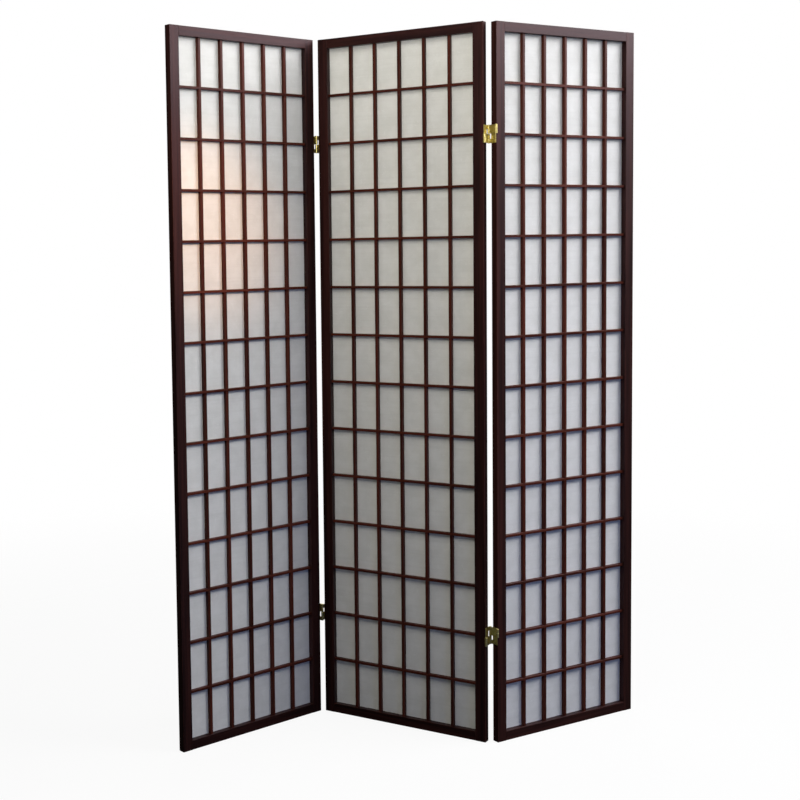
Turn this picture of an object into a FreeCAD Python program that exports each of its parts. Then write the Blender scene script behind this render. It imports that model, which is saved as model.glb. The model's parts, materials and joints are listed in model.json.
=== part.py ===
"""Folding screen of three lattice panels, joined by two-way hinges.

The middle panel stands square to the axes: X runs along it, -Y is the front and Z is up.
The origin is on the floor under its centre. Every length is in millimetres.

Each panel is drawn once, lying along X with its left front corner at the origin, and each hinge
once, with the middle of its gap at X = 0 and the panels' front faces at Y = 0. The nodes are
placed copies of those pieces: the left panel is turned about the front pins of its hinges and the
right panel about the back pins of its own, which gives the zigzag that the screen stands in.
"""
import FreeCAD, Part
import os

DRIVING_SIZES = {
    # the panels
    "screen_height": 1785,
    "panel_width": 460,
    "panel_depth": 19,
    "stile_width": 27.5,
    "rail_height": 24,
    "edge_radius": 1,
    # the lattice
    "column_count": 6,
    "row_count": 14,
    "upright_width": 7.5,
    "cross_bar_height": 6.5,
    "bar_recess": 5,
    "bar_depth": 10,
    "bar_chamfer": 0.6,
    # the joints in the wood
    "rail_tenon_length": 15,
    "rail_tenon_depth": 8,
    "rail_tenon_shoulder": 4,
    "bar_tenon_length": 4,
    "bar_tenon_shoulder": 2,
    "rebate_width": 7,
    "paper_thickness": 0.3,
    "paper_margin": 0.5,
    # the hinges
    "hinge_gap": 9,
    "pin_offset": 4,
    "hinge_height": 44,
    "leaf_thickness": 1.5,
    "leaf_inset": 1,
    "knuckle_radius": 3.3,
    "knuckle_length": 10.5,
    "knuckle_play": 0.5,
    "pin_radius": 1.6,
    "pin_clearance": 0.05,
    "pin_head_radius": 2.4,
    "pin_head_height": 0.8,
    "screw_spacing": 14,
    "screw_head_radius": 2.8,
    "screw_shank_radius": 1.3,
    "screw_shank_length": 11,
    "screw_tip_length": 3,
    "screw_tip_radius": 0.2,
    "driver_slot_width": 0.6,
    "driver_slot_length": 3,
    "driver_slot_depth": 0.8,
    "hinge_bar": 2,
    # how far each outer panel stands folded from flat, in degrees
    "left_fold": 72,
    "right_fold": 63,
}
PANELS = ("left_panel", "middle_panel", "right_panel")
JOINTS = ("left", "right")
LEVELS = ("upper", "lower")

doc = FreeCAD.newDocument("folding_screen")
sizes = doc.addObject("Spreadsheet::Sheet", "sizes")
for row, (alias, value) in enumerate(DRIVING_SIZES.items(), start=1):
    sizes.set(f"A{row}", alias)
    sizes.set(f"B{row}", str(value))
    sizes.setAlias(f"B{row}", alias)
doc.recompute()


# ---------------------------------------------------------------- expressions
def size(alias):
    """Names a cell of the sheet in an expression."""
    return f"sizes.{alias}"


def value(alias):
    """Reads a cell of the sheet."""
    return float(getattr(sizes, alias))


HEIGHT = size("screen_height")
WIDTH = size("panel_width")
DEPTH = size("panel_depth")
STILE = size("stile_width")
RAIL = size("rail_height")
FAR_STILE = f"({WIDTH} - {STILE})"
FAR_RAIL = f"({HEIGHT} - {RAIL})"
COLUMN_PITCH = f"(({FAR_STILE} - {STILE} + {size('upright_width')}) / {size('column_count')})"
ROW_PITCH = f"(({FAR_RAIL} - {RAIL} + {size('cross_bar_height')}) / {size('row_count')})"
BAR_FRONT = size("bar_recess")
BAR_BACK = f"({BAR_FRONT} + {size('bar_depth')})"
BAR_MIDDLE = f"({BAR_FRONT} + {size('bar_depth')} / 2)"
BAR_TENON_Y = (
    f"{BAR_FRONT} + {size('bar_tenon_shoulder')}",
    f"{BAR_BACK} - {size('bar_tenon_shoulder')}",
)
HALF_GAP = f"({size('hinge_gap')} / 2)"
HALF_HINGE = f"({size('hinge_height')} / 2)"
FRONT_PIN = f"(-{size('pin_offset')})"
BACK_PIN = f"({DEPTH} + {size('pin_offset')})"


def upright_x(number):
    """The left and right faces of an upright, counted from 1 at the left."""
    left = f"{STILE} + {number} * {COLUMN_PITCH} - {size('upright_width')}"
    return left, f"{left} + {size('upright_width')}"


def cross_bar_z(number):
    """The bottom and top faces of a cross bar, counted from 1 at the bottom."""
    bottom = f"{RAIL} + {number} * {ROW_PITCH} - {size('cross_bar_height')}"
    return bottom, f"{bottom} + {size('cross_bar_height')}"


# ---------------------------------------------------------------- solids
def box(name, x, y, z):
    """A block between pairs of planes, each pair two expressions."""
    block = doc.addObject("Part::Box", name)
    for side, axis, (start, end) in zip(("Length", "Width", "Height"), "xyz", (x, y, z)):
        block.setExpression(f"Placement.Base.{axis}", start)
        block.setExpression(side, f"({end}) - ({start})")
    return block


def cylinder(name, x, y, z, radius):
    """An upright cylinder from the lower to the upper of the two heights in z."""
    rod = doc.addObject("Part::Cylinder", name)
    rod.setExpression("Radius", radius)
    rod.setExpression("Height", f"({z[1]}) - ({z[0]})")
    for axis, start in zip("xyz", (x, y, z[0])):
        rod.setExpression(f"Placement.Base.{axis}", start)
    return rod


def group(name, members):
    """Several solids kept apart in one object."""
    together = doc.addObject("Part::Compound", name)
    together.Links = members
    return together


def fuse(name, members):
    """Several solids joined into one."""
    joined = doc.addObject("Part::MultiFuse", name)
    joined.Shapes = members
    joined.Refine = True
    return joined


def cut(name, base, tools):
    """A solid with other solids taken away from it."""
    doc.recompute()
    before = base.Shape.Volume
    result = doc.addObject("Part::Cut", name)
    result.Base = base
    result.Tool = group(f"{name}_tools", tools)
    doc.recompute()
    if result.Shape.Volume >= before:
        raise RuntimeError(f"{name}: the cut removed nothing")
    return result


def mirrored(name, source, axis, middle):
    """A mirror image across the plane square to axis at the expression middle."""
    image = doc.addObject("Part::Mirroring", name)
    image.Source = source
    image.Normal = FreeCAD.Vector(*(1 if letter == axis else 0 for letter in "xyz"))
    image.setExpression(f"Base.{axis}", middle)
    return image


def worked_edges(kind, name, base, amount, wanted):
    """Rounds or chamfers the edges of base that wanted(edge) picks."""
    doc.recompute()
    worked = doc.addObject(kind, name)
    worked.Base = base
    worked.Edges = [
        (number, value(amount), value(amount))
        for number, edge in enumerate(base.Shape.Edges, start=1)
        if wanted(edge)
    ]
    return worked


def runs_along(axis):
    """Picks straight edges that run along an axis."""

    def wanted(edge):
        run = edge.Vertexes[-1].Point - edge.Vertexes[0].Point
        return abs(getattr(run, axis)) > 0.99 * run.Length

    return wanted


def front_edge_along(axis):
    """Picks the front edges that run along an axis."""
    along = runs_along(axis)
    front = value("bar_recess")
    return lambda edge: along(edge) and abs(edge.CenterOfMass.y - front) < 1e-3


# ---------------------------------------------------------------- the frame of a panel
def rebate(name, x, z):
    """The step at the back of the opening that the paper's margin is pasted into."""
    return box(name, x, (BAR_BACK, DEPTH), z)


def make_stile():
    """The left stile: mortised for the rails and the cross bars, rebated at the back."""
    blank = box("stile_blank", ("0", STILE), ("0", DEPTH), ("0", HEIGHT))
    eased = worked_edges("Part::Fillet", "stile_eased", blank, "edge_radius", runs_along("z"))
    shoulder = size("rail_tenon_shoulder")
    tenon_front = f"({DEPTH} - {size('rail_tenon_depth')}) / 2"
    tenon_y = (tenon_front, f"{tenon_front} + {size('rail_tenon_depth')}")
    mortise_x = (f"{STILE} - {size('rail_tenon_length')}", STILE)
    step = size("rebate_width")
    tools = [
        rebate("stile_rebate", (f"{STILE} - {step}", STILE), (f"{RAIL} - {step}", f"{FAR_RAIL} + {step}")),
        box("bottom_mortise", mortise_x, tenon_y, (shoulder, f"{RAIL} - {shoulder} - {step} / 2")),
        box("top_mortise", mortise_x, tenon_y,
            (f"{FAR_RAIL} + {shoulder} + {step} / 2", f"{HEIGHT} - {shoulder}")),
    ]
    for number in range(1, int(value("row_count"))):
        bar_mortise_x = (f"{STILE} - {size('bar_tenon_length')}", STILE)
        tools.append(box(f"bar_mortise_{number}", bar_mortise_x, BAR_TENON_Y, cross_bar_z(number)))
    return cut("stile", eased, tools)


def make_rail():
    """The bottom rail: a tenon at each end, mortised above for the uprights, rebated at the back."""
    blank = box("rail_blank", (STILE, FAR_STILE), ("0", DEPTH), ("0", RAIL))
    eased = worked_edges("Part::Fillet", "rail_eased", blank, "edge_radius", runs_along("x"))
    shoulder = size("rail_tenon_shoulder")
    step = size("rebate_width")
    tenon_front = f"({DEPTH} - {size('rail_tenon_depth')}) / 2"
    tenons = box(
        "rail_tenons",
        (f"{STILE} - {size('rail_tenon_length')}", f"{FAR_STILE} + {size('rail_tenon_length')}"),
        (tenon_front, f"{tenon_front} + {size('rail_tenon_depth')}"),
        (shoulder, f"{RAIL} - {shoulder} - {step} / 2"),
    )
    tools = [rebate("rail_rebate", (STILE, FAR_STILE), (f"{RAIL} - {step}", RAIL))]
    for number in range(1, int(value("column_count"))):
        mortise_z = (f"{RAIL} - {size('bar_tenon_length')}", RAIL)
        tools.append(box(f"upright_mortise_{number}", upright_x(number), BAR_TENON_Y, mortise_z))
    return cut("rail", fuse("rail_with_tenons", [eased, tenons]), tools)


# ---------------------------------------------------------------- the lattice of a panel
def make_uprights():
    """The thin uprights, halved at the front where the cross bars lie over them."""
    end = size("bar_tenon_length")
    bars = []
    for number in range(1, int(value("column_count"))):
        x = upright_x(number)
        blank = box(f"upright_blank_{number}", x, (BAR_FRONT, BAR_BACK), (RAIL, FAR_RAIL))
        eased = worked_edges(
            "Part::Chamfer", f"upright_eased_{number}", blank, "bar_chamfer", front_edge_along("z"))
        core = box(f"upright_core_{number}", x, BAR_TENON_Y, (f"{RAIL} - {end}", f"{FAR_RAIL} + {end}"))
        bars.append(fuse(f"upright_{number}", [eased, core]))
    halvings = [
        box(f"upright_halving_{number}", (STILE, FAR_STILE), (BAR_FRONT, BAR_MIDDLE), cross_bar_z(number))
        for number in range(1, int(value("row_count")))
    ]
    return cut("uprights", group("whole_uprights", bars), halvings)


def make_cross_bars():
    """The cross bars, halved at the back where they lie over the uprights."""
    end = size("bar_tenon_length")
    bars = []
    for number in range(1, int(value("row_count"))):
        z = cross_bar_z(number)
        blank = box(f"cross_bar_blank_{number}", (STILE, FAR_STILE), (BAR_FRONT, BAR_BACK), z)
        eased = worked_edges(
            "Part::Chamfer", f"cross_bar_eased_{number}", blank, "bar_chamfer", front_edge_along("x"))
        core = box(f"cross_bar_core_{number}", (f"{STILE} - {end}", f"{FAR_STILE} + {end}"), BAR_TENON_Y, z)
        bars.append(fuse(f"cross_bar_{number}", [eased, core]))
    halvings = [
        box(f"cross_bar_halving_{number}", upright_x(number), (BAR_MIDDLE, BAR_BACK), (RAIL, FAR_RAIL))
        for number in range(1, int(value("column_count")))
    ]
    return cut("cross_bars", group("whole_cross_bars", bars), halvings)


def make_paper():
    """The sheet of rice paper, pasted to the backs of the bars and into the rebate."""
    overlap = f"({size('rebate_width')} - {size('paper_margin')})"
    return box(
        "paper",
        (f"{STILE} - {overlap}", f"{FAR_STILE} + {overlap}"),
        (BAR_BACK, f"{BAR_BACK} + {size('paper_thickness')}"),
        (f"{RAIL} - {overlap}", f"{FAR_RAIL} + {overlap}"),
    )


# ---------------------------------------------------------------- a hinge
KNUCKLE_ZONE = (f"{HALF_HINGE} - {size('knuckle_length')}", HALF_HINGE)
BARREL_ZONE = (f"{size('knuckle_play')}", f"{KNUCKLE_ZONE[0]} - {size('knuckle_play')}")


def below(zone):
    """The same span of heights, reflected below the hinge's centre."""
    return f"-({zone[1]})", f"-({zone[0]})"


def make_screws():
    """The countersunk screws of the right leaf, which point along +X, with and without their slots."""
    head_x = f"{HALF_GAP} - {size('leaf_thickness')}"
    solids, slots = [], []
    for number, level in enumerate(("-1", "0", "1")):
        height = f"{level} * {size('screw_spacing')}"
        head = doc.addObject("Part::Cone", f"screw_head_{number}")
        head.setExpression("Radius1", size("screw_head_radius"))
        head.setExpression("Radius2", size("screw_shank_radius"))
        head.setExpression("Height", size("leaf_thickness"))
        shank = doc.addObject("Part::Cylinder", f"screw_shank_{number}")
        shank.setExpression("Radius", size("screw_shank_radius"))
        shank.setExpression("Height", size("screw_shank_length"))
        tip = doc.addObject("Part::Cone", f"screw_tip_{number}")
        tip.setExpression("Radius1", size("screw_shank_radius"))
        tip.setExpression("Radius2", size("screw_tip_radius"))
        tip.setExpression("Height", size("screw_tip_length"))
        for piece, start in (
            (head, head_x),
            (shank, HALF_GAP),
            (tip, f"{HALF_GAP} + {size('screw_shank_length')}"),
        ):
            piece.Placement.Rotation = FreeCAD.Rotation(FreeCAD.Vector(0, 1, 0), 90)
            piece.setExpression("Placement.Base.x", start)
            piece.setExpression("Placement.Base.y", f"{DEPTH} / 2")
            piece.setExpression("Placement.Base.z", height)
        solids.append(fuse(f"screw_{number}", [head, shank, tip]))
        slot_x = (head_x, f"{head_x} + {size('driver_slot_depth')}")
        for letter, half_y, half_z in (
            ("a", size("driver_slot_width"), size("driver_slot_length")),
            ("b", size("driver_slot_length"), size("driver_slot_width")),
        ):
            slots.append(box(
                f"driver_slot_{number}_{letter}",
                slot_x,
                (f"{DEPTH} / 2 - {half_y} / 2", f"{DEPTH} / 2 + {half_y} / 2"),
                (f"{height} - {half_z} / 2", f"{height} + {half_z} / 2"),
            ))
    plain = group("plain_screws", solids)
    return plain, cut("right_screws", plain, slots)


def make_right_leaf(plain_screws):
    """The right leaf: a plate on the end face, a front knuckle above and a back knuckle below."""
    plate = box(
        "leaf_plate",
        (f"{HALF_GAP} - {size('leaf_thickness')}", HALF_GAP),
        (size("leaf_inset"), f"{DEPTH} - {size('leaf_inset')}"),
        (f"-{HALF_HINGE}", HALF_HINGE),
    )
    lug_x = (f"{size('knuckle_radius')} - {size('leaf_thickness')}", HALF_GAP)
    solids = [plate]
    bores = [plain_screws]
    for side, pin_y, lug_y, zone in (
        ("front", FRONT_PIN, (FRONT_PIN, size("leaf_inset")), KNUCKLE_ZONE),
        ("back", BACK_PIN, (f"{DEPTH} - {size('leaf_inset')}", BACK_PIN), below(KNUCKLE_ZONE)),
    ):
        solids.append(box(f"leaf_{side}_lug", lug_x, lug_y, zone))
        solids.append(cylinder(f"leaf_{side}_knuckle", "0", pin_y, zone, size("knuckle_radius")))
        bores.append(cylinder(f"leaf_{side}_bore", "0", pin_y, zone, size("pin_radius")))
    return cut("right_leaf", fuse("leaf_without_holes", solids), bores)


def make_right_pins():
    """The two headed pins pressed into the right leaf: front above, back below."""
    pins = []
    for side, pin_y, turn in (("front", FRONT_PIN, 1), ("back", BACK_PIN, -1)):
        shank_z = (size("knuckle_play"), HALF_HINGE)
        head_z = (HALF_HINGE, f"{HALF_HINGE} + {size('pin_head_height')}")
        if turn < 0:
            shank_z, head_z = below(shank_z), below(head_z)
        shank = cylinder(f"{side}_pin_shank", "0", pin_y, shank_z, size("pin_radius"))
        head = cylinder(f"{side}_pin_head", "0", pin_y, head_z, size("pin_head_radius"))
        pins.append(fuse(f"{side}_pin", [shank, head]))
    return group("right_pins", pins)


def make_upper_link():
    """The upper link: a plate between a front and a back barrel, which turn on the pins."""
    bore_radius = f"{size('pin_radius')} + {size('pin_clearance')}"
    reach = f"({size('knuckle_radius')} + {size('knuckle_play')})"
    plate_x = (f"-{size('leaf_thickness')} / 2", f"{size('leaf_thickness')} / 2")
    solids = [
        box("link_plate", plate_x, (f"{FRONT_PIN} + {reach}", f"{BACK_PIN} - {reach}"),
            (size("knuckle_play"), HALF_HINGE)),
        box("link_web", plate_x, (FRONT_PIN, BACK_PIN), BARREL_ZONE),
    ]
    bores = []
    for side, pin_y in (("front", FRONT_PIN), ("back", BACK_PIN)):
        solids.append(cylinder(f"link_{side}_barrel", "0", pin_y, BARREL_ZONE, size("knuckle_radius")))
        bores.append(cylinder(f"link_{side}_bore", "0", pin_y, BARREL_ZONE, bore_radius))
    return cut("upper_link", fuse("link_without_bores", solids), bores)


# ---------------------------------------------------------------- the pieces, each drawn once
stile = make_stile()
rail = make_rail()
plain_right_screws, right_screws = make_screws()
plain_left_screws = mirrored("plain_left_screws", plain_right_screws, "x", "0")
right_leaf = make_right_leaf(plain_right_screws)
right_pins = make_right_pins()
upper_link = make_upper_link()


def turned_over(name, source):
    """A hinge piece turned half round the Y axis: right becomes left and up becomes down."""
    across = mirrored(f"{name}_across", source, "x", "0")
    return mirrored(name, across, "z", "0")


hinge_pieces = {
    "right_leaf": right_leaf,
    "right_pins": right_pins,
    "right_screws": right_screws,
    "left_leaf": turned_over("left_leaf", right_leaf),
    "left_pins": turned_over("left_pins", right_pins),
    "left_screws": turned_over("left_screws", right_screws),
    "upper_link": upper_link,
    "lower_link": turned_over("lower_link", upper_link),
}
hinge_heights = {
    "upper": f"{RAIL} + ({size('row_count')} - {size('hinge_bar')}) * {ROW_PITCH} - {size('cross_bar_height')} / 2",
    "lower": f"{RAIL} + {size('hinge_bar')} * {ROW_PITCH} - {size('cross_bar_height')} / 2",
}


def drilled(name, source, screws, hinge_x):
    """A stile with the screw holes of its two hinges."""
    tools = []
    for level in LEVELS:
        holes = group(f"{name}_{level}_holes", [screws])
        holes.setExpression("Placement.Base.x", hinge_x)
        holes.setExpression("Placement.Base.z", hinge_heights[level])
        tools.append(holes)
    return cut(name, source, tools)


far_stile = mirrored("far_stile", stile, "x", f"{WIDTH} / 2")
hinged_stile = drilled("hinged_stile", stile, plain_right_screws, f"-{HALF_GAP}")
hinged_far_stile = drilled("hinged_far_stile", far_stile, plain_left_screws, f"{WIDTH} + {HALF_GAP}")
panel_pieces = {
    "top_rail": mirrored("top_rail", rail, "z", f"{HEIGHT} / 2"),
    "bottom_rail": rail,
    "uprights": make_uprights(),
    "cross_bars": make_cross_bars(),
    "paper": make_paper(),
}
left_stiles = dict(zip(PANELS, (stile, hinged_stile, hinged_stile)))
right_stiles = dict(zip(PANELS, (hinged_far_stile, hinged_far_stile, far_stile)))

# ---------------------------------------------------------------- where everything stands
WIDTH_MM = value("panel_width")
FRONT_Y = -value("panel_depth") / 2
GAP_MM = value("hinge_gap")
JOINT_X = {"left": -(WIDTH_MM + GAP_MM) / 2, "right": (WIDTH_MM + GAP_MM) / 2}
PIN_Y = {"left": FRONT_Y - value("pin_offset"), "right": -FRONT_Y + value("pin_offset")}


def turned(joint):
    """The turn of an outer panel about the pins that it folds on."""
    centre = FreeCAD.Vector(JOINT_X[joint], PIN_Y[joint], 0)
    turn = FreeCAD.Rotation(FreeCAD.Vector(0, 0, 1), value(f"{joint}_fold"))
    return FreeCAD.Placement(FreeCAD.Vector(0, 0, 0), turn, centre)


def shifted(x, y, z):
    """A move without a turn."""
    return FreeCAD.Placement(FreeCAD.Vector(x, y, z), FreeCAD.Rotation())


unturned = shifted(0, 0, 0)
turns = {"left_panel": turned("left"), "middle_panel": unturned, "right_panel": turned("right")}
flat_places = {
    "left_panel": shifted(-WIDTH_MM * 1.5 - GAP_MM, FRONT_Y, 0),
    "middle_panel": shifted(-WIDTH_MM / 2, FRONT_Y, 0),
    "right_panel": shifted(WIDTH_MM / 2 + GAP_MM, FRONT_Y, 0),
}
# the upper links swing with the outer panels and the lower links stay with the middle one
hinge_owners = {
    "left": {"left": "left_panel", "right": "middle_panel", "upper": "left_panel", "lower": "middle_panel"},
    "right": {"left": "middle_panel", "right": "right_panel", "upper": "right_panel", "lower": "middle_panel"},
}
nodes = []


def place(label, piece, placement):
    """Adds a node: a placed copy of a piece."""
    node = doc.addObject("Part::Compound", label)
    node.Label = label
    node.Links = [piece]
    node.Placement = placement
    nodes.append(node)


for panel in PANELS:
    placement = turns[panel].multiply(flat_places[panel])
    place(f"{panel}_left_stile", left_stiles[panel], placement)
    place(f"{panel}_right_stile", right_stiles[panel], placement)
    for piece_name, piece in panel_pieces.items():
        place(f"{panel}_{piece_name}", piece, placement)

for joint in JOINTS:
    for level in LEVELS:
        height = doc.addObject("App::FeaturePython", f"{joint}_{level}_height")
        height.addProperty("App::PropertyFloat", "Centre")
        height.setExpression("Centre", hinge_heights[level])
        doc.recompute()
        at_rest = shifted(JOINT_X[joint], FRONT_Y, height.Centre)
        for piece_name, piece in hinge_pieces.items():
            owner = hinge_owners[joint][piece_name.split("_")[0]]
            place(f"{joint}_{level}_hinge_{piece_name}", piece, turns[owner].multiply(at_rest))

# ---------------------------------------------------------------- check and write
doc.recompute()
for item in doc.Objects:
    if "Invalid" in item.State or "Error" in item.State:
        raise RuntimeError(f"{item.Label} is {item.State}")
os.makedirs("parts", exist_ok=True)
for node in nodes:
    shape = node.Shape
    if shape.isNull() or not shape.isValid() or not shape.Solids:
        raise RuntimeError(f"{node.Label} has no valid solid")
    shape.exportStep(f"parts/{node.Label}.step")
    print(node.Label, len(shape.Solids), "solids", round(shape.Volume), "mm3")
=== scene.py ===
"""Looks of a three-panel folding room screen: lacquered lattice frames, rice paper and brass two-way hinges.

Lengths are in metres in the frame of the CAD model, and hinge sizes are in millimetres in the hinge's own frame.
"Flat" means with the three panels in line, as before they are folded to where they stand at rest.
"""

import json
import logging
import math
from dataclasses import dataclass, field
from enum import Enum

import bmesh
import bpy
import numpy as np
from mathutils import Matrix, Vector

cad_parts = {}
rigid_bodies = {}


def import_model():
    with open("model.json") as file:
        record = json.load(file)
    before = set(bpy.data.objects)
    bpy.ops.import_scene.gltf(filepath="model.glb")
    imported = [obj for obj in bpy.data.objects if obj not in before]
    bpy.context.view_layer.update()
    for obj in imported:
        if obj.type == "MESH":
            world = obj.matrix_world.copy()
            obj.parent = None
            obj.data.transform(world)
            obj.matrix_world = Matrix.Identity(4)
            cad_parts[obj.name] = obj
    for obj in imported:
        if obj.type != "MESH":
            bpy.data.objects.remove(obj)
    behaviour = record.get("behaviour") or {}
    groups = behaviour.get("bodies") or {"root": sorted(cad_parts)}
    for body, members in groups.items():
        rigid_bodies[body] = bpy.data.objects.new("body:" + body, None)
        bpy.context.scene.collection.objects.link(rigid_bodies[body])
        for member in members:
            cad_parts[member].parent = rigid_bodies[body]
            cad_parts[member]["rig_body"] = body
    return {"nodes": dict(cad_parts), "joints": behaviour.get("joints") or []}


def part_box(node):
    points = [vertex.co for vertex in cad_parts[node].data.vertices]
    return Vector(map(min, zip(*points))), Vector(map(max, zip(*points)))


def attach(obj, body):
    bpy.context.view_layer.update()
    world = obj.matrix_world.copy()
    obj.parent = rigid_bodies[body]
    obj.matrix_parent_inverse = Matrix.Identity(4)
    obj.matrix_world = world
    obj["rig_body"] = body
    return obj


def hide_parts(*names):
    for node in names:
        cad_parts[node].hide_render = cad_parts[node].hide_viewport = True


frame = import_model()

log = logging.getLogger("screen")

MM = 0.001
SAME_POINT = 1e-6

Colour = tuple[float, float, float]
Point = tuple[float, float, float]
Number = "Wire | float"


# ---------------------------------------------------------------- shader maths
class Wire:
    """A value in a material's node tree, on which arithmetic adds Math nodes."""

    def __init__(self, bench: "Bench", socket: bpy.types.NodeSocket) -> None:
        """Wraps an output socket of a bench's tree."""
        self.bench = bench
        self.socket = socket

    def __add__(self, other: Number) -> "Wire":
        """The sum."""
        return self.bench.math("ADD", self, other)

    __radd__ = __add__

    def __sub__(self, other: Number) -> "Wire":
        """This value less the other."""
        return self.bench.math("SUBTRACT", self, other)

    def __rsub__(self, other: Number) -> "Wire":
        """The other value less this one."""
        return self.bench.math("SUBTRACT", other, self)

    def __mul__(self, other: Number) -> "Wire":
        """The product."""
        return self.bench.math("MULTIPLY", self, other)

    __rmul__ = __mul__

    def __abs__(self) -> "Wire":
        """The value without its sign."""
        return self.bench.math("ABSOLUTE", self)

    def least(self, other: Number) -> "Wire":
        """The smaller of the two."""
        return self.bench.math("MINIMUM", self, other)

    def most(self, other: Number) -> "Wire":
        """The larger of the two."""
        return self.bench.math("MAXIMUM", self, other)

    def step(self, low: float, high: float, start: float = 0.0, end: float = 1.0) -> "Wire":
        """A smooth rise from start to end as the value goes from low to high.

        Args:
            low: the value at which the rise starts.
            high: the value at which it ends, which may be below low for a fall.
            start: what it gives up to low.
            end: what it gives past high.

        Returns:
            The risen value.
        """
        return self.bench.wire(
            "MapRange",
            {"interpolation_type": "SMOOTHSTEP"},
            {0: self, 1: low, 2: high, 3: start, 4: end},
        )


class Bench:
    """One material's node tree, and the one way in which nodes are added to it."""

    def __init__(self, name: str) -> None:
        """Starts an empty material of that name."""
        self.material = bpy.data.materials.new(name)
        self.material.use_nodes = True
        self.tree = self.material.node_tree
        self.tree.nodes.clear()

    def node(
        self, kind: str, settings: dict[str, object] | None = None, sockets: dict[str | int, object] | None = None
    ) -> bpy.types.Node:
        """Adds a node: its settings are made first, then its sockets are filled or linked.

        Args:
            kind: the shader node's type, without "ShaderNode".
            settings: its own choices by name.
            sockets: a value, a Wire or an output socket for each input, by name or number.

        Returns:
            The node.
        """
        node = self.tree.nodes.new("ShaderNode" + kind)
        for name, value in (settings or {}).items():
            setattr(node, name, value)
        for key, value in (sockets or {}).items():
            source = value.socket if isinstance(value, Wire) else value
            if isinstance(source, bpy.types.NodeSocket):
                self.tree.links.new(source, node.inputs[key])
            else:
                node.inputs[key].default_value = source
        return node

    def wire(
        self,
        kind: str,
        settings: dict[str, object] | None = None,
        sockets: dict[str | int, object] | None = None,
        output: str | int = 0,
    ) -> Wire:
        """Adds a node as node() does, and returns one of its outputs as a Wire."""
        return Wire(self, self.node(kind, settings, sockets).outputs[output])

    def math(self, operation: str, *values: Number) -> Wire:
        """Adds one Math node.

        Args:
            operation: the node's operation.
            values: its inputs, in order.

        Returns:
            Its result.
        """
        return self.wire("Math", {"operation": operation}, dict(enumerate(values)))

    def mix(self, share: Number, first: object, second: object) -> bpy.types.NodeSocket:
        """Mixes two colours.

        Args:
            share: how much of the second, from 0 to 1.
            first: a colour or a socket that gives one.
            second: likewise.

        Returns:
            The socket of the mixed colour.
        """
        ends = [value if isinstance(value, bpy.types.NodeSocket) else (*value, 1.0) for value in (first, second)]
        return self.node("Mix", {"data_type": "RGBA"}, {0: share, 6: ends[0], 7: ends[1]}).outputs[2]

    def noise(self, place: bpy.types.NodeSocket, stretch: Point, detail: float = 3.0, roughness: float = 0.55) -> Wire:
        """A cloudy value around a half, from noise of one cell to the unit of the stretched place.

        Args:
            place: the socket of the place on the surface.
            stretch: how many cells there are to the metre along each axis.
            detail: how many finer layers are added.
            roughness: how strong the finer layers are.

        Returns:
            The noise.
        """
        stretched = self.node("VectorMath", {"operation": "MULTIPLY"}, {0: place, 1: stretch}).outputs[0]
        return self.wire("TexNoise", {}, {"Vector": stretched, "Scale": 1.0, "Detail": detail, "Roughness": roughness})

    def bump(self, height: Wire, distance: float) -> bpy.types.NodeSocket:
        """The normal of a surface raised by height times distance."""
        return self.node("Bump", {}, {"Height": height, "Distance": distance}).outputs["Normal"]

    def finished(self, shader: bpy.types.NodeSocket) -> bpy.types.Material:
        """Links the shader to the material's output and returns the material."""
        self.node("OutputMaterial", {}, {"Surface": shader})
        return self.material


# ---------------------------------------------------------------- where a panel stands
@dataclass(frozen=True)
class Swing:
    """The turn about an upright axis that takes a panel from flat to where it stands at rest."""

    pivot: tuple[float, float] = (0.0, 0.0)
    angle: float = 0.0

    @property
    def matrix(self) -> np.ndarray:
        """The turn as a 3 by 3 matrix."""
        return np.array(Matrix.Rotation(self.angle, 3, "Z"), float)

    @property
    def shift(self) -> np.ndarray:
        """Where the turn about the pivot takes the origin."""
        pivot = np.array([*self.pivot, 0.0])
        return pivot - self.matrix @ pivot

    def turned(self, points: np.ndarray) -> np.ndarray:
        """Flat points, taken to where they are at rest."""
        return points @ self.matrix.T + self.shift

    def flattened(self, points: np.ndarray) -> np.ndarray:
        """Points at rest, taken back to flat."""
        return (points - self.shift) @ self.matrix

    def place(self, bench: Bench) -> bpy.types.NodeSocket:
        """The socket of a surface point's flat place, from its Object coordinates at rest."""
        at_rest = bench.node("TexCoord").outputs["Object"]
        return bench.node(
            "Mapping",
            {"vector_type": "TEXTURE"},
            {"Vector": at_rest, "Location": tuple(self.shift), "Rotation": (0.0, 0.0, self.angle)},
        ).outputs[0]


# ---------------------------------------------------------------- finishes
class Grain(Enum):
    """Which way a member's grain runs, as the share of the cells across the grain that there are along each axis."""

    UPRIGHT = (1.0, 1.0, 0.025)
    ACROSS = (0.025, 1.0, 1.0)

    def stretched(self, cells: float) -> Point:
        """The cells to the metre along each axis, for that many across the grain."""
        return tuple(share * cells for share in self.value)


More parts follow.
